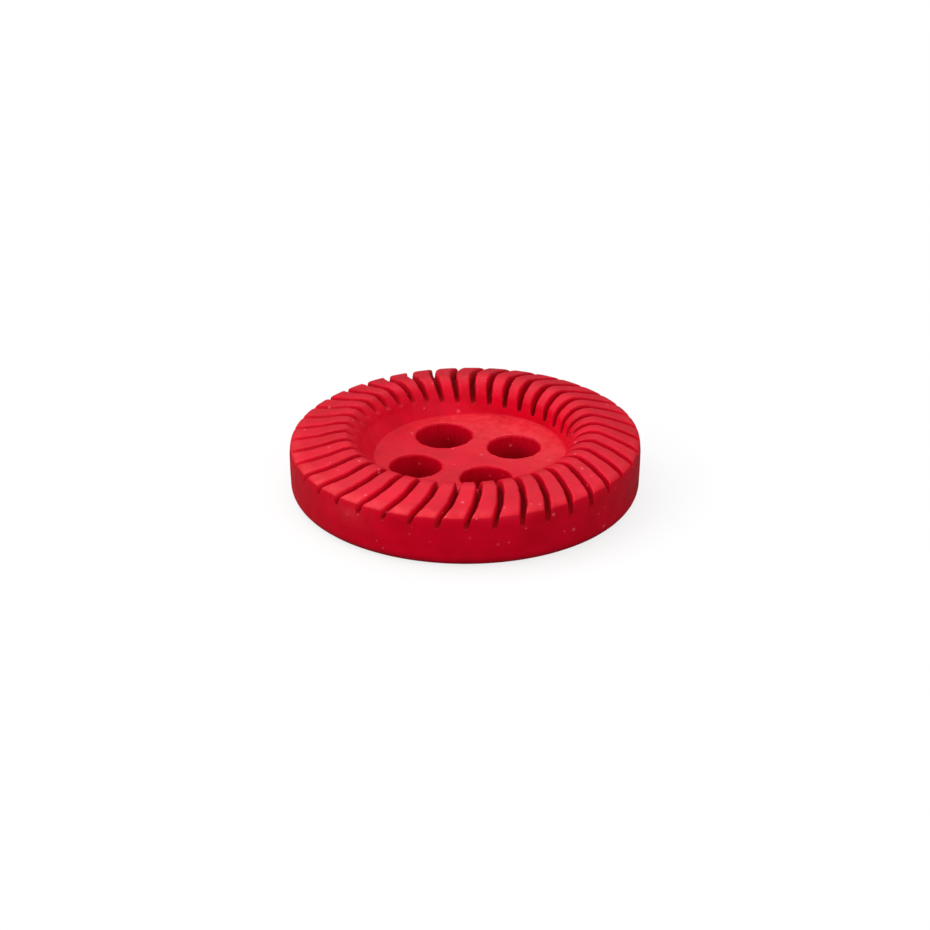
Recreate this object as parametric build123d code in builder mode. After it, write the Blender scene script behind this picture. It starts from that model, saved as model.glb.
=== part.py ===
"""A round four-hole sewing button with curved slots across its raised rim.

The button lies on its flat back. The origin is the centre of the back face,
+Z points out of the front, and the holes stand square to X and Y.
"""

import math
import os

from build123d import *

# Outer form, in millimetres and degrees
button_diameter = 15.0
side_draft_angle = 0.6
back_edge_radius = 0.75

# Raised rim: a cone that falls outwards from a rounded crest
rim_edge_height = 2.42
rim_slope_angle = 16.5
crest_radius = 1.2

# Dish in the middle, with the floor that the thread holes pass through
floor_height = 1.65
floor_diameter = 7.9
dish_wall_angle = 54.0
dish_blend_radius = 0.4

# Four thread holes on a square, clear of the blend round the floor
hole_diameter = 2.2
hole_lip_chamfer = 0.12
hole_clearance = 0.235

# Curved slots across the rim, from the dish wall out through the side
slot_count = 40
slot_width = 0.34
slot_depth = 0.58
slot_inner_radius = 4.45
slot_inner_height = 2.1
slot_arc_radius = 4.3
slot_start_angle = 7.3
slot_turn_angle = -5.9
slot_overrun = 0.5

# Worked out from the sizes above
button_radius = button_diameter / 2
floor_radius = floor_diameter / 2
foot_radius = button_radius - rim_edge_height * math.tan(math.radians(side_draft_angle))
rim_slope = math.tan(math.radians(rim_slope_angle))
wall_slope = math.tan(math.radians(dish_wall_angle))
slot_outer_radius = button_radius + slot_overrun

# The floor is flat out to the dish blend, and the holes with their lips stay inside that
flat_radius = floor_radius - dish_blend_radius * math.tan(math.radians(dish_wall_angle / 2))
hole_lip_radius = hole_diameter / 2 + hole_lip_chamfer
hole_pitch = math.sqrt(2) * (flat_radius - hole_lip_radius - hole_clearance)

# Where the rim cone and the dish wall would meet if the crest were sharp
peak_radius = (rim_edge_height - floor_height + rim_slope * button_radius + wall_slope * floor_radius) / (
    wall_slope + rim_slope
)
peak_height = rim_edge_height + rim_slope * (button_radius - peak_radius)

with BuildSketch() as slot_plan:
    with BuildLine(mode=Mode.PRIVATE):
        slot_centre_line = RadiusArc(
            (slot_inner_radius, 0),
            (
                slot_outer_radius * math.cos(math.radians(slot_turn_angle)),
                slot_outer_radius * math.sin(math.radians(slot_turn_angle)),
            ),
            slot_arc_radius,
        )
    trace(slot_centre_line, line_width=slot_width)

with BuildPart() as slot_cutter:
    with BuildSketch():
        with PolarLocations(0, slot_count, start_angle=slot_start_angle):
            add(slot_plan.sketch)
    extrude(amount=peak_height)
    with BuildSketch(Plane.XZ):
        with BuildLine():
            Polyline(
                (slot_inner_radius - slot_overrun, slot_inner_height),
                (slot_inner_radius, slot_inner_height),
                (peak_radius + slot_depth / 2, peak_height - slot_depth / 2 * rim_slope - slot_depth),
                (slot_outer_radius, rim_edge_height - slot_overrun * rim_slope - slot_depth),
                (slot_outer_radius, peak_height),
                (slot_inner_radius - slot_overrun, peak_height),
                close=True,
            )
        make_face()
    revolve(axis=Axis.Z, mode=Mode.INTERSECT)

with BuildPart() as button:
    with BuildSketch(Plane.XZ):
        with BuildLine():
            Polyline(
                (0, 0),
                (foot_radius, 0),
                (button_radius, rim_edge_height),
                (peak_radius, peak_height),
                (floor_radius, floor_height),
                (0, floor_height),
                close=True,
            )
        make_face()
        fillet(vertices().sort_by_distance((foot_radius, 0))[0], back_edge_radius)
        fillet(vertices().sort_by_distance((peak_radius, peak_height))[0], crest_radius)
        fillet(vertices().sort_by_distance((floor_radius, floor_height))[0], dish_blend_radius)
    revolve(axis=Axis.Z)
    with BuildSketch():
        with GridLocations(hole_pitch, hole_pitch, 2, 2):
            Circle(hole_diameter / 2)
    extrude(amount=floor_height, mode=Mode.SUBTRACT)
    circles = edges().filter_by(GeomType.CIRCLE)
    hole_edges = circles.filter_by(lambda edge: math.isclose(edge.radius, hole_diameter / 2))
    chamfer(hole_edges, hole_lip_chamfer)
    add(slot_cutter.part, mode=Mode.SUBTRACT)
    button.part.label = "button"

os.makedirs("parts", exist_ok=True)
export_step(button.part, "parts/button.step")
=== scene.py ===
"""Dresses a round four-hole sewing button whose raised rim is cut by curved slots.

The button is one moulded piece that lies on its back. Its mesh is worked out from the button's own half
section: rows run from the back, up the side, over the rim and down into the dish, and columns run round it,
bent to follow the slots. A plate with the four thread holes closes the middle, front and back.

Lengths are in millimetres until the mesh is made, and angles in the fields are in degrees. The moulding
isn't even, so many of its sizes change with the bearing, which is counted as the photograph sees it: 0 is
the right, 90 the back, 180 the left and 270 the front.
"""

import logging
import math
from dataclasses import dataclass, field
from enum import Enum

import bmesh
import bpy
import numpy as np
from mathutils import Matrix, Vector


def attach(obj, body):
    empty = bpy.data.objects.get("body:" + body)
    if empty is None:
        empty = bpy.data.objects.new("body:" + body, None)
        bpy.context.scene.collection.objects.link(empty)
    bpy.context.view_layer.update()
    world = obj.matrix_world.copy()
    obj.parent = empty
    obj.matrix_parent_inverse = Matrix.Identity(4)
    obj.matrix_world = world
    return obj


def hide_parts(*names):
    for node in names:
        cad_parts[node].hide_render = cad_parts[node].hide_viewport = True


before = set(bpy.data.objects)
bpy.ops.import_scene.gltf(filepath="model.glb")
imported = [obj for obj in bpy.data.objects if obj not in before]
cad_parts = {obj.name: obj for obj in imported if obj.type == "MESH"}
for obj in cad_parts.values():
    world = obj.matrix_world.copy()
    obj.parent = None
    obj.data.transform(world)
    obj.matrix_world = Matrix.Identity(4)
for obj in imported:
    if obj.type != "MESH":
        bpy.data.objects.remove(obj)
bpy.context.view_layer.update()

log = logging.getLogger("button")
Array = np.ndarray
Pair = tuple[float, float]
Numbers = tuple[float, ...]
Rows = tuple[Numbers, ...]
Colour = tuple[float, float, float, float]
Socket = bpy.types.NodeSocket
Source = Socket | float | Numbers
Inputs = dict[str | int, Source]
MM = 0.001
WELD_REACH = 2e-7
PHOTO_TURN = math.radians(21.69)


class SlotName(Enum):
    """Material slots of the record."""

    BUTTON = "button_plastic"


@dataclass(frozen=True)
class Lobe:
    """A bump round the button: size * cos(a - middle)^power where the cosine is positive, and 0 elsewhere."""

    size: float
    middle: float
    power: float

    def at(self, seen: Array) -> Array:
        """The bump at each bearing a, in radians."""
        return self.size * np.clip(np.cos(seen - math.radians(self.middle)), 0.0, 1.0) ** self.power


@dataclass(frozen=True)
class Swell:
    """A narrow rise round the button: size * exp(-((a - middle) / width)^2)."""

    size: float
    middle: float
    width: float

    def at(self, seen: Array) -> Array:
        """The rise at each bearing a, in radians."""
        return self.size * np.exp(-((from_middle(seen, self.middle) / math.radians(self.width)) ** 2))


def from_middle(seen: Array, middle: float) -> Array:
    """Bearings in radians counted from a middle in degrees, and held within half a turn of it."""
    return (seen - math.radians(middle) + math.pi) % (2 * math.pi) - math.pi


def arc_points(centre: Pair, radius: float, start: float, end: float, count: int) -> Array:
    """Points on an arc: centre + radius * (cos a, sin a), for a from start to end in even steps.

    Args:
        centre: Distance from the axis and height of the arc's centre, in millimetres.
        radius: The arc's own radius, in millimetres.
        start: First angle, in degrees.
        end: Last angle, in degrees.
        count: Number of points.

    Returns:
        An array of count rows, each a distance from the axis and a height.
    """
    angle = np.radians(np.linspace(start, end, count))
    return np.stack([centre[0] + radius * np.cos(angle), centre[1] + radius * np.sin(angle)], axis=1)


def between(start: Array, end: Array, count: int) -> Array:
    """Evenly spaced points on a line, leaving both of its ends out.

    Args:
        start: First end of the line.
        end: Last end of the line.
        count: Number of points between them.

    Returns:
        An array of count rows.
    """
    share = np.linspace(0.0, 1.0, count + 2)[1:-1, None]
    return start * (1 - share) + end * share


def grid_faces(rows: int, columns: int) -> Array:
    """Four-cornered faces of a grid whose last column joins its first.

    Args:
        rows: Number of rows of vertices.
        columns: Number of columns of vertices.

    Returns:
        An array of vertex numbers, four to a face.
    """
    row, column = np.meshgrid(np.arange(rows - 1), np.arange(columns), indexing="ij")
    following = (column + 1) % columns
    corners = [(row, column), (row, following), (row + 1, following), (row + 1, column)]
    return np.stack([r * columns + c for r, c in corners], axis=-1).reshape(-1, 4)


@dataclass
class Profile:
    """The button's half section, as distance from the axis against height.

    The side draws in a little from round_start to the rim's line, where the rounded rim edge begins. A wider
    arc turns on to the sloping rim, the crest's arc joins that to the dish wall, and a small blend turns the
    wall into the floor. The slots cut the wall down to wall_end.
    """

    button_radius: float = 7.54
    side_draft: float = 1.55
    back_edge_radius: float = 0.6
    mouth_height: float = 1.84
    round_start: float = 1.93
    round_depth: float = 0.05
    rim_line_height: float = 2.333
    rim_edge_height: float = 2.408
    rim_edge_radius: float = 0.07
    rim_edge_turn: float = 54.0
    rim_fall_radius: float = 0.9
    rim_slope: float = 16.5
    crest_radius: float = 1.2
    crest_sharpness: Lobe = Lobe(0.42, 180.0, 1.5)
    dish_wall: float = 54.0
    wall_end_radius: float = 4.42
    wall_end_drop: float = 0.35
    wall_end_step: float = 0.06
    foot_shift: float = 0.5
    foot_bearing: float = 25.0
    dish_blend_radius: float = 0.12
    disc_radius: float = 3.88
    floor_radius: float = 3.95
    floor_height: float = 1.65
    plate_radius: float = 3.72
    plate_clearance: float = 0.01

    back_rows: int = 2
    back_edge_points: int = 11
    side_steps: Numbers = (0.4, 0.8, 0.97)
    mouth_rows: int = 5
    rim_edge_points: int = 5
    fall_points: int = 6
    cone_rows: int = 10
    crest_points: int = 16
    crest_lead: int = 3
    wall_rows: int = 3
    blend_points: int = 7

    def __post_init__(self) -> None:
        """Works out the rows of the outline, and which of them the slots cut.

        The rim's cone and the dish wall would meet at the peak if the crest were sharp. edge_row, fall_row
        and crest_row are counted from the mouth's row, and the other row numbers from the first row of all.
        """
        self.draft = math.tan(math.radians(self.side_draft))
        self.slope = math.tan(math.radians(self.rim_slope))
        self.wall = math.tan(math.radians(self.dish_wall))
        self.foot = self.button_radius - self.rim_edge_height * self.draft
        rise = self.rim_edge_height - self.floor_height
        across = self.slope * self.button_radius + self.wall * self.floor_radius
        self.peak_radius = (rise + across) / (self.wall + self.slope)
        self.peak_height = self.rim_edge_height + self.slope * (self.button_radius - self.peak_radius)

        lower, cut, dish = self.lower_part(), self.cut_part(), self.dish_part()
        self.tooth = np.concatenate(lower + cut + dish)
        self.first_row = sum(len(rows) for rows in lower)
        self.slot_rows = sum(len(rows) for rows in cut)
        self.line_row = self.first_row + self.mouth_rows + 1
        self.edge_row = sum(len(rows) for rows in cut[:3]) - 1
        self.fall_row = sum(len(rows) for rows in cut[:4]) - 1
        self.crest_row = self.fall_row + self.cone_rows + 1
        self.wall_end_row = self.first_row + self.slot_rows - 1

    def lower_part(self) -> list[Array]:
        """Rows from the back's plate edge, round the back edge and up the side, to just below a mouth."""
        radius = self.back_edge_radius
        back = np.array([self.plate_radius, 0.0])
        back_edge = arc_points((self.foot - radius, radius), radius, -90, 0, self.back_edge_points)
        side = between(back_edge[-1], self.mouth(), len(self.side_steps))
        return [back[None], between(back, back_edge[0], self.back_rows), back_edge, side]

    def cut_part(self) -> list[Array]:
        """Rows that the slots cut: from a mouth, over the rim, to where a slot ends on the dish wall."""
        mouth, wall_end, (edge, fall) = self.mouth(), self.wall_end(), self.rim_edge()
        turns = 90 - self.rim_slope, 90 + self.dish_wall
        crest = arc_points(self.crest_centre(), self.crest_radius, *turns, self.crest_points)
        side = between(mouth, edge[0], self.mouth_rows)
        cone = between(fall[-1], crest[0], self.cone_rows)
        wall = between(crest[-1], wall_end, self.wall_rows)
        return [mouth[None], side, edge, fall, cone, crest, wall, wall_end[None]]

    def dish_part(self) -> list[Array]:
        """Rows down the rest of the dish wall, round its blend and in to the plate's edge."""
        radius = self.dish_blend_radius
        centre = self.disc_radius - self.blend_reach(), self.floor_height + radius
        blend = arc_points(centre, radius, -90 + self.dish_wall, -90, self.blend_points)
        blend = blend[blend[:, 0] > self.plate_radius + self.plate_clearance]
        plate_edge = np.array([self.plate_radius, float(self.dish_height(np.array(self.plate_radius)))])
        return [between(self.wall_end(), blend[0], self.wall_rows), blend, plate_edge[None]]

    def mouth(self) -> Array:
        """A slot's mouth on the side, before the unevenness moves it."""
        return np.array([self.foot + self.mouth_height * self.draft, self.mouth_height])

    def wall_end(self) -> Array:
        """Where a slot ends on the dish wall, before the unevenness moves it."""
        radius = self.wall_end_radius
        return np.array([radius, self.floor_height + self.wall * (radius - self.floor_radius)])

    def rim_edge(self) -> tuple[Array, Array]:
        """The rounded rim edge, and the wider arc that carries on from it to the sloping rim.

        Returns:
            Points of both arcs; the second leaves out the point that they share.
        """
        lean = math.atan(2 * self.round_depth / (self.rim_line_height - self.round_start))
        turn = math.radians(self.rim_edge_turn)
        radius, reach = self.rim_edge_radius, self.rim_edge_radius - self.rim_fall_radius
        line_radius = self.foot + self.rim_line_height * self.draft - self.round_depth
        centre = line_radius - radius * math.cos(lean), self.rim_line_height - radius * math.sin(lean)
        edge = arc_points(centre, radius, math.degrees(lean), self.rim_edge_turn, self.rim_edge_points)
        centre = centre[0] + reach * math.cos(turn), centre[1] + reach * math.sin(turn)
        turns = self.rim_edge_turn, 90 - self.rim_slope
        return edge, arc_points(centre, self.rim_fall_radius, *turns, self.fall_points)[1:]

    def crest_centre(self) -> Pair:
        """Centre of the arc that rounds the crest, on the line that halves the peak's angle."""
        half_turn = math.radians(self.rim_slope + self.dish_wall) / 2
        lean = math.radians(90 - self.rim_slope) + half_turn
        reach = self.crest_radius / math.cos(half_turn)
        return self.peak_radius - reach * math.cos(lean), self.peak_height - reach * math.sin(lean)

    def blend_reach(self) -> float:
        """How far inwards of the dish's sharp corner its blend begins."""
        return self.dish_blend_radius * math.tan(math.radians(self.dish_wall) / 2)

    def dish_height(self, radius: Array) -> Array:
        """Height of the dish floor at a radius: flat, then rising on the blend's arc."""
        run = np.clip(radius - (self.disc_radius - self.blend_reach()), 0.0, self.dish_blend_radius)
        return self.floor_height + self.dish_blend_radius - np.sqrt(self.dish_blend_radius**2 - run**2)

    def side_round(self, height: Array) -> Array:
        """How far the side draws in at height z: d * ((z - z0) / (z1 - z0))^2 from z0 to the rim's line."""
        rise = (height - self.round_start) / (self.rim_line_height - self.round_start)
        return self.round_depth * np.clip(rise, 0.0, 1.0) ** 2

    def surface(self, mouth: Array, seen: Array) -> Array:
        """The outline at each column, with the unevenness of its side, crest and dish.

        The side keeps its draft, and its rows slide up or down it with the slots' mouths. With
        g = (1 + cos(a - foot_bearing)) / 2, the foot of the dish wall moves outwards by foot_shift * g, and
        the row where the slots end moves down by wall_end_drop * g. The crest's rows move towards the sharp
        peak by the share crest_sharpness.

        Args:
            mouth: Height of the slots' mouths at each column.
            seen: Bearing a of each column, in radians.

        Returns:
            Distances and heights, by row, column and coordinate.
        """
        rows = np.repeat(self.tooth[:, None, :], len(mouth), axis=1)
        first, line, wall_end = self.first_row, self.line_row, self.wall_end_row
        lower = first - len(self.side_steps)
        start = rows[lower - 1, :, 1]
        rows[lower:first, :, 1] = start + (mouth - start) * np.array(self.side_steps)[:, None]
        up = np.linspace(0, 1, line - first + 1)[:, None]
        rows[first : line + 1, :, 1] = mouth + (self.rim_line_height - mouth) * up
        side = rows[lower:line]
        side[..., 0] = self.foot + side[..., 1] * self.draft - self.side_round(side[..., 1])

        order = np.arange(len(rows))
        share = (1 + np.cos(seen - math.radians(self.foot_bearing))) / 2
        blend = wall_end + self.wall_rows + 1
        keys = [wall_end - self.wall_rows - 1, wall_end, blend, len(rows) - 2, len(rows) - 1]
        rows[..., 0] += np.interp(order, keys, [0, 0, 1, 1, 0])[:, None] * share * self.foot_shift
        rows[..., 1] -= np.interp(order, keys, [0, 1, 0, 0, 0])[:, None] * share * self.wall_end_drop

        crest = first + self.crest_row
        keys = [crest - self.crest_lead, crest + self.crest_points // 2 - 1, wall_end]
        sharp = np.interp(order, keys, [0, 1, 0])[:, None] * self.crest_sharpness.at(seen)
        rows += (np.array([self.peak_radius, self.peak_height]) - rows) * sharp[..., None]
        rows[wall_end + 1] = rows[wall_end] + (rows[blend] - rows[wall_end]) * self.wall_end_step
        return rows


@dataclass
class Slots:
    """The curved slots: where each lies, how deep it is, and the section that the columns follow.

    A slot's centre line is an arc in plan. Its floor follows path, as distances and heights, and ends on the
    side at the mouth. A slot lies off its even place by stray_all, by stray_once's shares of the cosine and
    sine of its bearing, and by stray_twice's shares of those of twice the bearing.
    """

    profile: Profile
    count: int = 40
    half_width: float = 0.13
    floor_half_width: float = 0.09
    shoulder_radius: float = 0.1
    foot_radius: float = 0.05
    foot_turns: Numbers = (0.0, 35.0, 70.0)
    shoulder_turns: Numbers = (85.0, 60.0, 35.0, 12.0, 0.0)
    depth: float = 0.6
    top_columns: int = 6

    inner_radius: float = 4.45
    outer_radius: float = 8.0
    arc_radius: float = 4.3
    start_angle: float = 7.3
    turn_angle: float = -5.9
    middle_radius: float = 6.0
    held_reach: float = 0.1

    stray_all: float = 0.17
    stray_once: Pair = (-1.1, 0.1)
    stray_twice: Pair = (1.45, -0.06)
    swing_sine: float = 0.35
    swing_left: Lobe = Lobe(0.5, 180.0, 1.0)
    swing_radius: float = 6.1
    waver: float = 0.009
    waver_lengths: Numbers = (1.7, 0.8, 0.37)
    seed: int = 7

    lean: float = 0.17
    lean_middle: float = 250.0
    lean_narrowness: float = 1.8
    lean_depth: float = 0.5
    lean_start: float = 7.0
    lean_fade: float = 0.25

    mouth_level: float = 2.36
    mouth_least: float = 0.08
    mouth_more: float = 0.44
    mouth_ramp: Pair = (0.35, 0.37)
    mouth_shallow: Lobe = Lobe(0.5, 40.0, 4.0)
    mouth_deep: Lobe = Lobe(0.2, 312.0, 3.0)
    exit_reach: float = 0.45
    exit_depth: float = 0.5
    exit_margin: float = 0.2
    start_left: Lobe = Lobe(0.52, 180.0, 1.5)
    start_low: Lobe = Lobe(0.25, 38.0, 4.0)
    start_right: Swell = Swell(0.34, -3.0, 13.0)
    middle_shares: Pair = (0.5, 0.4)
    crest_span: Pair = (5.1, 5.8)
    crest_place: float = 5.3
    crest_rows: int = 5
    end_reaches: Pair = (0.1, 0.01)
    path: Rows = (
        (4.45, 4.75, 5.1, 5.4, 6.2, 7.05),
        (2.08, 2.22, 2.32, 2.34, 2.25, 2.05),
    )
    mouth_taper: Numbers = (0.3, 0.52, 0.7, 0.84, 0.94)
    end_taper: Numbers = (0.96, 0.86, 0.62)

    def __post_init__(self) -> None:
        """Places the slots round the button, with each one's swing, lean, mouth and floor."""
        even = np.arange(self.count) * 2 * math.pi / self.count + math.radians(self.start_angle)
        self.seen = seen = even + float(self.bearing(np.array(self.middle_radius))) - PHOTO_TURN
        once = self.stray_once[0] * np.cos(seen) + self.stray_once[1] * np.sin(seen)
        twice = self.stray_twice[0] * np.cos(2 * seen) + self.stray_twice[1] * np.sin(2 * seen)
        self.home = even - np.radians(self.stray_all + once + twice)
        self.swing = np.radians(self.swing_sine * np.sin(seen) + self.swing_left.at(seen))
        aside = np.clip(self.lean_narrowness * from_middle(seen, self.lean_middle), -math.pi / 2, math.pi / 2)
        self.leans = self.lean * np.cos(aside) ** 2
        self.phases = np.random.default_rng(self.seed).uniform(0, 2 * math.pi, (3, 2, self.count))
        mouth_depth = self.mouth_depth(seen)
        self.mouth_height = self.mouth_level - mouth_depth
        self.outer_lift = self.exit_depth - np.minimum(self.exit_depth, mouth_depth + self.exit_margin)
        self.inner_lift = self.start_left.at(seen) - self.start_low.at(seen) + self.start_right.at(seen)
        self.middle_lift = self.middle_shares[0] * self.inner_lift + self.middle_shares[1] * self.outer_lift

    def mouth_depth(self, seen: Array) -> Array:
        """How far below mouth_level each slot's mouth lies: least at the left and right of the rim.

        With s the share of the way that |sin a| has come up the ramp, it is least + more * s^2 (3 - 2s). Two
        lobes then make it shallower at the back right and deeper at the front right.
        """
        start, width = self.mouth_ramp
        rise = np.clip((np.abs(np.sin(seen)) - start) / width, 0.0, 1.0)
        depth = self.mouth_least + self.mouth_more * rise**2 * (3 - 2 * rise)
        return depth * (1 - self.mouth_shallow.at(seen)) + self.mouth_deep.at(seen)

    def arc_centre(self) -> Pair:
        """Distance and bearing, from the button's axis, of the centre of the slot's centre line."""
        turn = math.radians(self.turn_angle)
        start = np.array([self.inner_radius, 0.0])
        end = self.outer_radius * np.array([math.cos(turn), math.sin(turn)])
        chord = end - start
        half = float(np.linalg.norm(chord)) / 2
        aside = np.array([chord[1], -chord[0]]) / (2 * half)
        middle = (start + end) / 2 + aside * math.sqrt(self.arc_radius**2 - half**2)
        return float(np.hypot(*middle)), float(np.arctan2(middle[1], middle[0]))

    def bearing(self, radius: Array) -> Array:
        """Bearing of the centre line where it crosses the circle of each radius.

        With the arc's centre at distance L and bearing b, a circle of radius r meets the arc of radius R at
        b + acos((r^2 + L^2 - R^2) / 2rL).
        """
        distance, bearing = self.arc_centre()
        held = np.clip(radius, self.inner_radius - self.held_reach, self.outer_radius)
        cosine = (held**2 + distance**2 - self.arc_radius**2) / (2 * held * distance)
        return bearing + np.arccos(np.clip(cosine, -1, 1))

    def skew(self, radius: Array) -> Array:
        """Cosine of the angle between the centre line and the radius, which widens a slot along the ring."""
        step = 0.01
        turn = (self.bearing(radius + step) - self.bearing(radius - step)) / (2 * step)
        return 1.0 / np.sqrt(1.0 + (radius * turn) ** 2)

    def section(self) -> tuple[Array, Array]:
        """Half of a slot's section, from its middle out: flat floor, rounded foot, wall, rounded shoulder.

        Returns:
            Offsets from the centre line in millimetres, and depths as shares of the slot's depth.
        """
        turn, rise = np.radians(self.foot_turns), np.radians(self.shoulder_turns)
        foot_offset = self.floor_half_width - self.foot_radius * (1 - np.sin(turn))
        foot_depth = self.depth - self.foot_radius * (1 - np.cos(turn))
        shoulder_offset = self.half_width + self.shoulder_radius * (1 - np.sin(rise))
        shoulder_depth = self.shoulder_radius * (1 - np.cos(rise))
        offsets = np.concatenate([foot_offset, shoulder_offset])
        return offsets, np.concatenate([foot_depth, shoulder_depth]) / self.depth

    def columns(self) -> tuple[Array, Array, Array]:
        """The columns of one sector: a slot and the tooth after it.

        Returns:
            Offset from the centre line, share of the way over the tooth, and share of the slot's depth.
        """
        half, share = self.section()
        offset = np.concatenate([-half[::-1], half, np.full(self.top_columns, half[-1])])
        along = np.concatenate([np.zeros(2 * len(half)), np.linspace(0, 1, self.top_columns + 2)[1:-1]])
        return offset, along, np.concatenate([share[::-1], share, np.zeros(self.top_columns)])

    def spread(self, values: Array) -> Array:
        """Each slot's value at its columns; over the tooth it runs evenly to the next slot's value."""
        _, along, _ = self.columns()
        here = np.repeat(values, len(along))
        return here + (np.roll(here, -len(along)) - here) * np.tile(along, self.count)

    def edge_waver(self, radius: Array, slot: Array, edge: int) -> Array:
        """How far a slot's edge strays along the ring: three sines of the radius, each with its own start.

        Args:
            radius: Distance from the axis at each point, in millimetres.
            slot: Number of each column's slot.
            edge: 0 for a slot's first edge and 1 for its second.

        Returns:
            Distances in millimetres.
        """
        turns = zip((2 * math.pi / length for length in self.waver_lengths), self.phases)
        return self.waver * sum(np.sin(turn * radius + phase[edge][slot]) for turn, phase in turns)

    def lean_turn(self, points: Array) -> Array:
        """Angle by which a slot's exit leans round the side; it grows with the depth below mouth_level."""
        below = np.clip(self.mouth_level - points[..., 1], 0.0, self.lean_depth)
        on_side = np.clip((points[..., 0] - self.lean_start) / self.lean_fade, 0.0, 1.0)
        return self.spread(self.leans) * below * on_side / points[..., 0]

    def floor_height(self, radius: Array) -> Array:
        """Height of each slot's floor at each radius, before it meets the surface.

        Args:
            radius: Distances from the axis, by row and slot.

        Returns:
            Heights, by row and slot.
        """
        inner, outer = self.crest_span
        first, last = self.inner_radius, self.path[0][-1]
        lifts = (
            (np.interp(radius, [first, inner], [1, 0]), self.inner_lift),
            (np.interp(radius, [first, inner, outer, last], [0, 1, 1, 0]), self.middle_lift),
            (np.interp(radius, [outer, last], [0, 1]), self.outer_lift),
        )
        return np.interp(radius, *self.path) + sum(share * lift for share, lift in lifts)

    def floors(self, surface: Array) -> Array:
        """The slot floor rows that answer the tooth rows one to one.

        From its mouth on the side a floor rises and turns inwards as a quarter of an ellipse, with radius
        R - a (1 - cos t) and height zm + (zj - zm) sin t. From there it follows the floor path.

        Args:
            surface: The outline at each slot, by row, slot and coordinate.

        Returns:
            Distances and heights, by row, slot and coordinate.
        """
        form, floor = self.profile, surface.copy()
        rows = np.arange(form.slot_rows, dtype=float)
        last = form.slot_rows - 1
        turn = np.radians(np.clip(rows / form.fall_row, 0, 1) * 90)
        on_exit = rows < form.fall_row
        keys = [form.fall_row, form.crest_row + self.crest_rows, last - form.wall_rows, last - 1, last]
        ends = [form.button_radius - self.exit_reach, self.crest_place]
        ends += [self.inner_radius + reach for reach in self.end_reaches] + [form.wall_end_radius]
        exit_radius = form.button_radius - self.exit_reach * (1 - np.cos(turn))
        radius = np.where(on_exit, exit_radius, np.interp(rows, keys, ends))
        radius = np.repeat(radius[:, None], self.count, axis=1)
        upper = form.tooth[form.first_row + form.edge_row : form.wall_end_row + 1]
        top = np.interp(radius, upper[::-1, 0], upper[::-1, 1])
        height = self.floor_height(radius)
        join = height[form.fall_row]
        exit_height = self.mouth_height + (join - self.mouth_height) * np.sin(turn)[:, None]
        radius -= np.where(on_exit, np.cos(turn), 0.0)[:, None] * form.side_round(exit_height)
        height = np.minimum(np.where(on_exit[:, None], exit_height, height), top)
        floor[form.first_row + 1 : form.wall_end_row] = np.stack([radius, height], axis=-1)[1:-1]
        return floor

    def taper(self) -> Array:
        """How much of its width a slot keeps in each row: it closes to a rounded end at both ends."""
        form = self.profile
        keep = np.ones(len(form.tooth))
        start, end = form.first_row, form.wall_end_row + 1
        keep[:start], keep[end:] = self.mouth_taper[0], self.end_taper[-1]
        keep[start : start + len(self.mouth_taper)] = self.mouth_taper
        keep[end - len(self.end_taper) : end] = self.end_taper
        return keep


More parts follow.
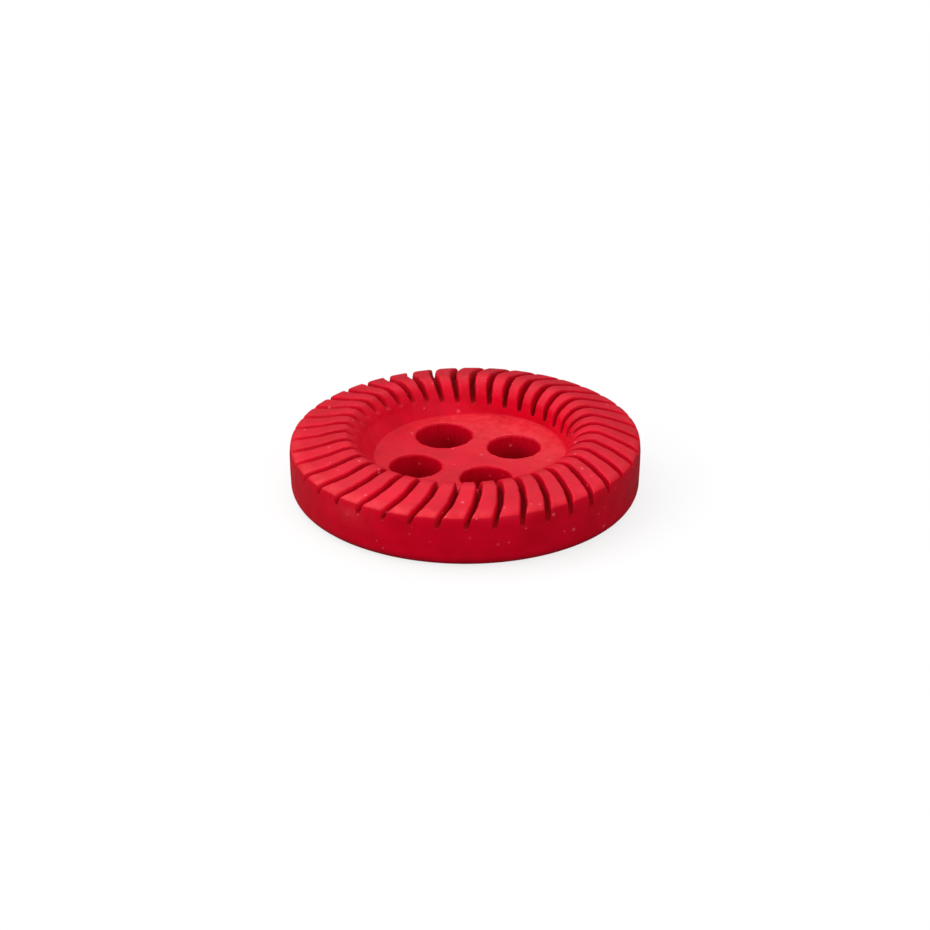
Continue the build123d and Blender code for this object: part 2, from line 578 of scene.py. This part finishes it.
@dataclass
class ButtonBody:
    """The moulded button: rim with slots, dish, thread holes, side and back.

    Every point has a value for the finish: up to 1 for painted shade deep in a slot or hole, 0 on the plain
    surface, and down to -1 for a painted highlight along the rim's edge, real wear in one patch on the side,
    and painted sheen on the dish floor. The band field gives the painted highlight of the rows that follow
    the mouth.
    """

    profile: Profile = field(default_factory=Profile)
    hole_radii: Numbers = (1.12, 1.2, 1.1, 1.1)
    hole_place: float = 1.62
    lip_radius: float = 0.13
    lip_turns: Numbers = (15.0, 32.0, 50.0, 70.0, 90.0)
    lip_waver: float = 0.015
    lip_waves: Rows = ((3, 1.3, 0.7), (11, 0.4, 0.7), (29, 2.1, 0.9), (43, 5.0, 1.0), (57, 0.9, 0.7))
    spoke_steps: int = 14
    plate_rows: int = 6
    plate_crowding: float = 1.5
    full_shade_depth: float = 0.45
    # Painted shade down each hole, by row.
    painted_hole_shades: Numbers = (0.0, 0.0, 0.03, 0.06, 0.09, 0.3, 0.09, 0.06, 0.03, 0.0, 0.0)
    # Painted sheen on the dish floor, growing towards this bearing.
    sheen_bearing: float = 50.0
    sheen_rise: float = 0.3
    # Painted highlight along the rim's edge, by row after the mouth.
    painted_highlight_band: Rows = ((5.0, 8.0, 12.0, 15.0, 17.0), (0.0, 0.6, 1.0, 0.6, 0.0))
    highlight_least: float = 0.3
    highlight_lobe: Lobe = Lobe(0.7, 230.0, 2.0)
    patch: Swell = Swell(0.6, 230.0, 7.0)
    patch_height: float = 1.8
    patch_reach: float = 0.35
    patch_start: float = 7.0
    highlight_and_wear_fade: float = 3.0
    lean: float = 0.0063
    lean_drop: float = 0.02

    def __post_init__(self) -> None:
        """Cuts the slots to the profile."""
        self.slots = Slots(self.profile)

    def column_angles(self, radius: Array, keep: Array) -> Array:
        """Angle of each point of the grid round the button.

        In a slot a column keeps its offset from the centre line, so its angle is offset / (radius * skew). On
        a tooth the columns share the rest of the way to the next slot evenly.

        Args:
            radius: Distance from the axis, by row and column.
            keep: Share of its width that a slot keeps in each row.

        Returns:
            Angles in radians, by row and column.
        """
        slots = self.slots
        offset, along, _ = slots.columns()
        number = np.repeat(np.arange(slots.count), len(offset))
        following = (number + 1) % slots.count
        home, along = slots.home[number], np.tile(along, slots.count)
        gap = (slots.home[following] - home) % (2 * math.pi)
        reach = 1.0 / (radius * slots.skew(radius))
        edge = offset.max() * keep[:, None] * reach
        slot_part = np.tile(offset, slots.count) * keep[:, None] * reach
        across = np.tile(np.clip(offset / offset.max(), -1, 1) * 0.5 + 0.5, slots.count)
        first, second = (slots.edge_waver(radius, number, side) for side in (0, 1))
        ahead = slots.edge_waver(radius, following, 0)
        stray = np.where(along > 0, second + along * (ahead - second), first + across * (second - first))
        swing = slots.spread(slots.swing) * (radius - slots.swing_radius)
        own = np.where(along > 0, edge + along * (gap - 2 * edge), slot_part)
        return home + slots.bearing(radius) + swing + stray * reach + own

    def rim(self) -> tuple[Array, Array, Array]:
        """The grid from the back's plate edge, round the rim and down to the floor's plate edge.

        A point is (1 - w) * tooth + w * slot floor, with w the column's share of the depth.

        Returns:
            Points in millimetres, faces, and the tone of each point.
        """
        form, slots = self.profile, self.slots
        _, along, share = slots.columns()
        ahead = np.tile(along, slots.count) * 2 * math.pi / slots.count
        surface = form.surface(slots.spread(slots.mouth_height), np.repeat(slots.seen, len(share)) + ahead)
        floor = slots.floors(form.surface(slots.mouth_height, slots.seen))
        drop = np.repeat(floor, len(share), axis=1) - surface
        share = np.tile(share, slots.count)
        rows = surface + drop * share[:, None]
        radius, height = rows[..., 0], rows[..., 1]
        angles = self.column_angles(radius, slots.taper()) - slots.lean_turn(rows)
        # Painted shade: the deeper a point lies in a slot, the darker it is painted.
        painted_light_and_wear = np.clip(np.hypot(drop[..., 0], drop[..., 1]) / self.full_shade_depth, 0, 1) * share
        # Painted highlight along the rim's edge and real wear in one patch, faded out where the painted shade
        # is deep.
        painted_light_and_wear = painted_light_and_wear - self.highlight_and_wear(rows, angles) * np.clip(1 - self.highlight_and_wear_fade * painted_light_and_wear, 0, 1)
        angles = self.evened(angles)
        points = np.stack([radius * np.cos(angles), radius * np.sin(angles), height], axis=-1)
        # Painted sheen on the dish floor's edge rows.
        painted_light_and_wear[-2:] = -self.painted_floor_sheen(points[-2:])
        return points.reshape(-1, 3), grid_faces(*angles.shape), painted_light_and_wear.ravel()

    def evened(self, angles: Array) -> Array:
        """The angles with even steps at both ends of the grid, so that the plates can join them.

        Beyond the slots the even angles gain share from row to row.
        """
        start, end = self.profile.first_row, self.profile.wall_end_row + 1
        count = angles.shape[1]
        step = 2 * math.pi / count
        even = np.arange(count) * step
        settle, shift = np.zeros(len(angles)), np.zeros(len(angles))
        settle[:start] = 1 - np.linspace(0, 1, start + 1)[:-1]
        settle[end:] = np.linspace(0, 1, len(angles) - end + 1)[1:]
        shift[:start] = np.round(np.mean(angles[0] - even) / step) * step
        shift[start:] = np.round(np.mean(angles[-1] - even) / step) * step
        return angles * (1 - settle[:, None]) + (even + shift[:, None]) * settle[:, None]

    def highlight_and_wear(self, rows: Array, angles: Array) -> Array:
        """Painted highlight along the rim's edge, most at the front left, and real wear in one patch below
        it.

        Args:
            rows: Distances and heights, by row, column and coordinate.
            angles: Angle of each point round the button.

        Returns:
            Painted highlight and wear from 0 to 1, by row and column.
        """
        seen = angles - PHOTO_TURN
        band = np.interp(np.arange(len(rows)) - self.profile.first_row, *self.painted_highlight_band)
        edge = band[:, None] * (self.highlight_least + self.highlight_lobe.at(seen))
        level = np.exp(-(((rows[..., 1] - self.patch_height) / self.patch_reach) ** 2))
        return np.maximum(edge, self.patch.at(seen) * level * (rows[..., 0] > self.patch_start))

    def painted_floor_sheen(self, points: Array) -> Array:
        """Painted sheen on the dish floor at each point, from 0 to 1: it rises towards the back right."""
        turn = PHOTO_TURN + math.radians(self.sheen_bearing)
        across = points[..., 0] * math.cos(turn) + points[..., 1] * math.sin(turn)
        return np.clip(self.sheen_rise * across, 0.0, 1.0)

    def quadrant(self, count: int) -> Array:
        """Outline round one thread hole: a quarter of the plate's edge and the two spokes to the middle.

        Args:
            count: Number of columns in the whole ring.

        Returns:
            Points in the quadrant where X and Y are positive.
        """
        angle = np.linspace(0, math.pi / 2, count // 4 + 1)
        arc = self.profile.plate_radius * np.stack([np.cos(angle), np.sin(angle)], axis=1)
        spoke = np.linspace(self.profile.plate_radius, 0, self.spoke_steps + 1)[1:]
        inwards = np.stack([0 * spoke, spoke], axis=1)
        outwards = np.stack([spoke[::-1], 0 * spoke], axis=1)[1:]
        return np.concatenate([arc, inwards, outwards])

    def hole(self, turn: int, count: int) -> tuple[Array, Array, Array]:
        """A quarter of the floor with its hole and rounded lips, and the same quarter of the back.

        Rows run from the floor's outline to the lip, down the hole, and out again to the back's outline. A
        lip is an arc: at angle t its radius is hole + lip * (1 - sin t) and its drop lip * (1 - cos t).

        Args:
            turn: Number of quarter turns from the first quadrant.
            count: Number of columns in the whole ring.

        Returns:
            Points in millimetres, faces, and each point's painted shade and sheen.
        """
        outline, centre = self.quadrant(count), np.full(2, self.hole_place)
        lip, hole = self.lip_radius, self.hole_radii[turn]
        bearing = np.arctan2(outline[:, 1] - centre[1], outline[:, 0] - centre[0])
        ray = np.stack([np.cos(bearing), np.sin(bearing)], axis=1)
        share = np.linspace(1, 0, self.plate_rows)[:, None, None] ** self.plate_crowding
        wave = self.lip_wave(bearing + turn)[:, None]
        flat = outline[None] * share + (centre + ray * (hole + lip + wave))[None] * (1 - share)
        floor = self.profile.dish_height(np.hypot(flat[..., 0], flat[..., 1]))[..., None]
        top_plate = np.concatenate([flat, floor], axis=-1)
        back_plate = np.concatenate([flat, 0 * floor], axis=-1)[::-1]
        angle = np.radians(self.lip_turns)[:, None, None]
        drop = lip * (1 - np.cos(angle))
        circle = centre + ray[None] * (hole + lip * (1 - np.sin(angle)) + wave * np.cos(angle))
        lip_top = np.concatenate([circle, top_plate[-1:, :, 2:] - drop], axis=-1)
        lip_back = np.concatenate([circle, drop * np.ones((1, len(ray), 1))], axis=-1)[::-1]
        middle = (lip_top[-1:] + lip_back[:1]) / 2
        grid = np.concatenate([top_plate, lip_top, middle, lip_back, back_plate])
        quarter = math.radians(90 * turn)
        spin = np.array([[math.cos(quarter), -math.sin(quarter)], [math.sin(quarter), math.cos(quarter)]])
        grid[..., :2] = grid[..., :2] @ spin.T
        painted_light_and_wear = np.zeros(grid.shape[:2])
        # Painted shade down the hole.
        painted_light_and_wear[self.plate_rows : self.plate_rows + len(self.painted_hole_shades)] = np.array(self.painted_hole_shades)[:, None]
        # Painted sheen on the floor's plate.
        painted_light_and_wear[: self.plate_rows + 1] = -self.painted_floor_sheen(grid[: self.plate_rows + 1])
        return grid.reshape(-1, 3), grid_faces(*painted_light_and_wear.shape), painted_light_and_wear.ravel()

    def lip_wave(self, bearing: Array) -> Array:
        """Slight raggedness of a hole's lip: a sum of size * sin(times * bearing + start)."""
        waves = (size * np.sin(times * bearing + start) for times, start, size in self.lip_waves)
        return self.lip_waver * sum(waves)

    def settle(self, points: Array) -> Array:
        """Gives the front its slight lean: each height is multiplied by 1 + lean * x - drop.

        Here x runs across the button as the photograph sees it, and the left is the lower side.
        """
        across = points[:, 0] * math.cos(PHOTO_TURN) + points[:, 1] * math.sin(PHOTO_TURN)
        drop = self.lean_drop / self.profile.peak_height
        height = points[:, 2] * (1 + self.lean * across - drop)
        return np.column_stack([points[:, :2], height])

    def build(self) -> bpy.types.Object:
        """Joins the grids into one closed mesh whose faces point outwards.

        Returns:
            The button's object, at the origin and in metres.
        """
        count = len(self.slots.columns()[0]) * self.slots.count
        grids = [self.rim()] + [self.hole(turn, count) for turn in range(4)]
        starts = np.cumsum([0] + [len(grid[0]) for grid in grids])
        points = self.settle(np.concatenate([grid[0] for grid in grids])) * MM
        faces = np.concatenate([grid[1] + start for grid, start in zip(grids, starts)])
        return make_object("button_body", points, faces, np.concatenate([grid[2] for grid in grids]))


def make_object(name: str, points: Array, faces: Array, painted_light_and_wear: Array) -> bpy.types.Object:
    """Makes a smooth, closed mesh object at the origin.

    Args:
        name: Name of the object and its mesh.
        points: Vertices in metres; those that coincide become one.
        faces: Vertex numbers, four to a face.
        painted_light_and_wear: A value for each vertex, which the finish reads.

    Returns:
        The new object, linked to the scene.
    """
    data = bpy.data.meshes.new(name)
    data.from_pydata(points, [], faces)
    data.attributes.new("painted_light_and_wear", "FLOAT", "POINT").data.foreach_set("value", painted_light_and_wear)
    work = bmesh.new()
    work.from_mesh(data)
    bmesh.ops.remove_doubles(work, verts=work.verts, dist=WELD_REACH)
    bmesh.ops.recalc_face_normals(work, faces=work.faces)
    loose = sum(1 for edge in work.edges if not edge.is_manifold)
    log.info("%s: %d faces, %d open edges", name, len(work.faces), loose)
    work.to_mesh(data)
    work.free()
    data.shade_smooth()
    item = bpy.data.objects.new(name, data)
    bpy.context.scene.collection.objects.link(item)
    return item


@dataclass(frozen=True)
class Blotches:
    """Soft noise with blotches of about a size, in metres; stretched, it is gain * noise + offset."""

    size: float
    shift: float = 0.0
    detail: float = 3.0
    gain: float = 1.0
    offset: float = 0.0


@dataclass(frozen=True)
class Specks:
    """Scattered specks, in metres: cell is how far apart they lie, and left_out the share not shown."""

    colour: Colour
    strength: float
    cell: float
    radius: float
    left_out: float
    shift: float
    softness: float = 1.6


class NodeChain:
    """Adds shader nodes to a material or a world and joins them."""

    def __init__(self, owner: bpy.types.Material | bpy.types.World, shader: str = "Principled BSDF") -> None:
        """Turns the owner's nodes on and finds its shader.

        Args:
            owner: The material or world.
            shader: Name of the shader's node.
        """
        owner.use_nodes = True
        self.tree = owner.node_tree
        self.shader = self.tree.nodes[shader]

    def add(self, kind: str, inputs: Inputs | None = None, **settings: object) -> bpy.types.Node:
        """Adds a node, sets its properties and fills its inputs.

        Args:
            kind: Blender's name for the node type.
            inputs: What goes into each input, by name or number.
            settings: Property names and values.

        Returns:
            The new node.
        """
        node = self.tree.nodes.new(kind)
        for key, value in settings.items():
            setattr(node, key, value)
        self.fill(node, inputs or {})
        return node

    def fill(self, node: bpy.types.Node, inputs: Inputs) -> None:
        """Joins outputs to a node's inputs, and sets the inputs whose source is a plain value."""
        for key, source in inputs.items():
            if isinstance(source, Socket):
                self.tree.links.new(source, node.inputs[key])
            else:
                node.inputs[key].default_value = source

    def math(
        self, operation: str, first: Source, second: Source = 0.0, third: Source = 0.0, clamp: bool = False
    ) -> Socket:
        """Adds a maths node.

        Args:
            operation: Name of the operation.
            first: First value or output.
            second: Second value or output.
            third: Third value or output, where the operation has one.
            clamp: Whether the result is held between 0 and 1.

        Returns:
            The node's output.
        """
        inputs = {0: first, 1: second, 2: third}
        return self.add("ShaderNodeMath", inputs, operation=operation, use_clamp=clamp).outputs[0]

    def place(self, shift: Numbers) -> Socket:
        """The object's own coordinates, shifted."""
        inputs = {0: self.add("ShaderNodeTexCoord").outputs["Object"], 1: shift}
        return self.add("ShaderNodeVectorMath", inputs, operation="ADD").outputs[0]

    def noise(self, blotches: Blotches) -> Socket:
        """Noise from 0 to 1."""
        place = self.place((blotches.shift, 0.0, 0.0))
        inputs = {"Vector": place, "Scale": 1.0 / blotches.size, "Detail": blotches.detail}
        return self.add("ShaderNodeTexNoise", inputs).outputs[0]

    def stretched(self, blotches: Blotches) -> Socket:
        """Noise stretched by its gain and offset, and held between 0 and 1."""
        return self.math("MULTIPLY_ADD", self.noise(blotches), blotches.gain, blotches.offset, True)

    def speckle(self, specks: Specks, base: Source) -> Socket:
        """Lays specks on a colour: at distance d from a point, one shows by softness * (1 - d / radius).

        Args:
            specks: The specks.
            base: Colour below them.

        Returns:
            The colour with its specks.
        """
        place = self.place((specks.shift, specks.shift / 2, 0.0))
        cells = self.add("ShaderNodeTexVoronoi", {"Vector": place, "Scale": 1.0 / specks.cell}).outputs
        fall = -specks.softness * specks.cell / specks.radius
        near = self.math("MULTIPLY_ADD", cells["Distance"], fall, specks.softness, True)
        pick = self.add("ShaderNodeSeparateColor", {0: cells["Color"]}).outputs[0]
        shown = self.math("MULTIPLY", near, self.math("GREATER_THAN", pick, specks.left_out))
        return self.tint(self.math("MULTIPLY", shown, specks.strength), base, specks.colour)

    def tint(self, factor: Source, base: Source, other: Source) -> Socket:
        """Mixes a colour into another by a factor."""
        inputs = {"Factor": factor, "A": base, "B": other}
        return self.add("ShaderNodeMix", inputs, data_type="RGBA").outputs["Result"]

    def bump(self, height: Source, depth: float, normal: Socket | None = None) -> Socket:
        """Adds a bump of the given depth in metres, on top of another where there is one."""
        below = {} if normal is None else {"Normal": normal}
        inputs = {"Height": height, "Distance": depth, "Strength": 1.0, **below}
        return self.add("ShaderNodeBump", inputs).outputs[0]


@dataclass(frozen=True)
class PlasticFinish:
    """Satin red plastic with a fine grain, moulding waves, worn places, painted highlights and shade, pale
    dust and a few dark pits.

    The point attribute that the finish reads paints shade where it is positive, darkening and dulling the
    slots and holes. Where it is negative it paints the plastic paler, as a painted highlight along the rim's
    edge, painted sheen on the dish floor and real wear in one patch on the side.
    """

    colour: Colour = (0.74, 0.0006, 0.02, 1.0)
    deep_colour: Colour = (0.6, 0.0002, 0.012, 1.0)
    # Painted shade in the slots and holes.
    painted_hollow_shade_colour: Colour = (0.26, 0.0, 0.001, 1.0)
    # Painted highlight and sheen, and real wear.
    highlight_and_wear_colour: Colour = (0.9, 0.06, 0.07, 1.0)
    highlight_and_wear_level: float = 0.6
    mottle: Blotches = Blotches(0.0012, gain=2.6, offset=-0.8)
    highlight_and_wear_mottle: Blotches = Blotches(0.0004, 0.08, gain=2.2, offset=-0.45)
    pits: Specks = Specks((0.22, 0.0, 0.003, 1.0), 0.8, 0.0006, 0.00005, 0.93, 0.013)
    dust: Specks = Specks((0.95, 0.14, 0.2, 1.0), 0.55, 0.0006, 0.0001, 0.72, 0.0)
    flecks: Specks = Specks((0.95, 0.14, 0.2, 1.0), 0.8, 0.0003, 0.00005, 0.91, 0.07)
    roughness: float = 0.23
    slot_roughness: float = 0.5
    rough_patches: Blotches = Blotches(0.0009, 0.021)
    patch_roughness: float = 0.3
    refraction: float = 1.42
    gloss_tint: Colour = (1.0, 0.3, 0.42, 1.0)
    waves: Blotches = Blotches(0.0013, 0.037, 1.0)
    wave_depth: float = 0.00004
    grain: Blotches = Blotches(0.00012, 0.051, 2.0)
    grain_depth: float = 0.000006

    def make(self) -> bpy.types.Material:
        """Builds the material.

        Returns:
            The finished material.
        """
        material = bpy.data.materials.new("button_plastic")
        chain = NodeChain(material)
        # The mesh's painted shade, highlight and sheen, with real wear, in one value per point.
        painted_light_and_wear = chain.add("ShaderNodeAttribute", attribute_name="painted_light_and_wear").outputs["Fac"]
        # Painted highlight, painted floor sheen and real wear pale the plastic where the value is negative.
        highlight_and_wear = chain.math("MULTIPLY", chain.math("MULTIPLY", painted_light_and_wear, -1.0, clamp=True), self.highlight_and_wear_level)
        highlight_and_wear = chain.math("MULTIPLY", highlight_and_wear, chain.stretched(self.highlight_and_wear_mottle))
        # Painted shade darkens and dulls the slots and holes where the value is positive.
        painted_hollow_shade = chain.math("MAXIMUM", painted_light_and_wear, 0.0)
        colour = chain.tint(chain.stretched(self.mottle), self.colour, self.deep_colour)
        colour = chain.tint(highlight_and_wear, colour, self.highlight_and_wear_colour)
        colour = chain.tint(painted_hollow_shade, colour, self.painted_hollow_shade_colour)
        for specks in (self.pits, self.dust, self.flecks):
            colour = chain.speckle(specks, colour)
        patches = chain.math("MULTIPLY", chain.noise(self.rough_patches), self.patch_roughness)
        dull = chain.math("MULTIPLY_ADD", painted_hollow_shade, self.slot_roughness, self.roughness)
        waves = chain.bump(chain.noise(self.waves), self.wave_depth)
        inputs = {
            "Base Color": colour,
            "Roughness": chain.math("ADD", patches, dull),
            "IOR": self.refraction,
            "Specular Tint": self.gloss_tint,
            "Normal": chain.bump(chain.noise(self.grain), self.grain_depth, waves),
        }
        chain.fill(chain.shader, inputs)
        return material


@dataclass(frozen=True)
class Lamp:
    """A square soft light that faces the button; where it doesn't shine, no gloss shows it."""

    name: str
    azimuth: float
    elevation: float
    distance: float
    size: float
    radiance: float
    shines: bool = True

    def make(self, aim: Vector) -> None:
        """Adds the lamp; its power is radiance * area * pi.

        Args:
            aim: Point that the lamp faces.
        """
        data = bpy.data.lights.new(self.name, "AREA")
        data.size = self.size
        data.energy = self.radiance * self.size**2 * math.pi
        item = stand(data, aim, self.azimuth, self.elevation, self.distance)
        item.visible_glossy = self.shines


def stand(
    data: bpy.types.Light | bpy.types.Camera, aim: Vector, azimuth: float, elevation: float, distance: float
) -> bpy.types.Object:
    """Adds a lamp or a camera that faces a point.

    Args:
        data: The lamp or camera, whose name the object takes.
        aim: The point that it faces.
        azimuth: Turn about the axis in degrees; 0 looks along +Y, from the front.
        elevation: Height above the level, in degrees.
        distance: Distance from the point, in metres.

    Returns:
        The new object.
    """
    turn, rise = math.radians(azimuth), math.radians(elevation)
    way = Vector((math.sin(turn) * math.cos(rise), -math.cos(turn) * math.cos(rise), math.sin(rise)))
    item = bpy.data.objects.new(data.name, data)
    bpy.context.scene.collection.objects.link(item)
    item.location = aim + way * distance
    item.rotation_euler = (-way).to_track_quat("-Z", "Y").to_euler()
    return item


@dataclass
class Studio:
    """White table, soft lights and the camera, with distances in metres."""

    floor_size: float = 4.0
    floor_seen: Colour = (0.22, 0.22, 0.22, 1.0)
    floor_felt: Colour = (0.1, 0.1, 0.1, 1.0)
    floor_glow: float = 0.78
    floor_roughness: float = 0.9
    white: Colour = (1.0, 1.0, 1.0, 1.0)
    horizon_strength: float = 0.08
    zenith_gain: float = 0.6
    camera_azimuth: float = math.degrees(PHOTO_TURN)
    camera_elevation: float = 25.78
    camera_distance: float = 0.225
    camera_roll: float = 0.14
    camera_reach: Pair = (0.01, 10.0)
    focal_pixels: float = 5238.3
    frame_pixels: float = 930.0
    sensor: float = 36.0
    aim_height: float = 0.00121
    lamps: tuple[Lamp, ...] = (
        Lamp("key_light", -80.0, 52.0, 0.6, 0.5, 1.5),
        Lamp("back_light", 202.0, 64.0, 0.6, 0.6, 0.85),
        Lamp("left_fill", -46.0, 12.0, 0.8, 0.8, 2.1, shines=False),
        Lamp("front_fill", 50.0, 10.0, 0.8, 0.8, 2.1, shines=False),
    )

    def floor(self) -> None:
        """Adds the table; the camera sees it whiter than the button does."""
        bpy.ops.mesh.primitive_plane_add(size=self.floor_size, location=(0, 0, 0))
        item = bpy.context.object
        item.name = "table"
        material = bpy.data.materials.new("white_table")
        chain = NodeChain(material)
        seen = chain.add("ShaderNodeLightPath").outputs["Is Camera Ray"]
        inputs = {
            "Base Color": chain.tint(seen, self.floor_felt, self.floor_seen),
            "Roughness": self.floor_roughness,
            "Specular IOR Level": 0.0,
            "Emission Color": self.white,
            "Emission Strength": chain.math("MULTIPLY", seen, self.floor_glow),
        }
        chain.fill(chain.shader, inputs)
        item.data.materials.append(material)

    def world(self) -> None:
        """Sets the sky: white to the camera, and to the button a light that grows with height.

        Its strength is horizon + gain * z, with z the height of the direction, from 0 to 1.
        """
        world = bpy.data.worlds.new("studio")
        chain = NodeChain(world, "Background")
        way = chain.add("ShaderNodeTexCoord").outputs["Generated"]
        height = chain.add("ShaderNodeSeparateXYZ", {0: way}).outputs["Z"]
        rise = chain.math("MULTIPLY_ADD", height, self.zenith_gain, self.horizon_strength, True)
        seen = chain.add("ShaderNodeLightPath").outputs["Is Camera Ray"]
        chain.fill(chain.shader, {"Color": self.white, "Strength": chain.math("MAXIMUM", rise, seen)})
        bpy.context.scene.world = world

    def camera(self) -> None:
        """Adds the camera where the photograph was taken from, so far as the outline tells."""
        data = bpy.data.cameras.new("camera")
        data.sensor_width = self.sensor
        data.lens = self.focal_pixels / self.frame_pixels * self.sensor
        data.clip_start, data.clip_end = self.camera_reach
        aim = Vector((0, 0, self.aim_height))
        item = stand(data, aim, self.camera_azimuth, self.camera_elevation, self.camera_distance)
        item.rotation_euler.rotate_axis("Z", math.radians(self.camera_roll))
        bpy.context.scene.camera = item

    def build(self) -> None:
        """Adds all of it."""
        bpy.context.scene.view_settings.view_transform = "Standard"
        self.floor()
        self.world()
        self.camera()
        for lamp in self.lamps:
            lamp.make(Vector((0, 0, self.aim_height)))


def main() -> None:
    """Builds the button and then the studio; the button's face count is logged."""
    logging.basicConfig(level=logging.INFO, format="%(message)s")
    body = ButtonBody().build()
    body.data.materials.append(PlasticFinish().make())
    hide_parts("button")
    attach(body, "root")
    Studio().build()


if __name__ == "__main__":
    main()
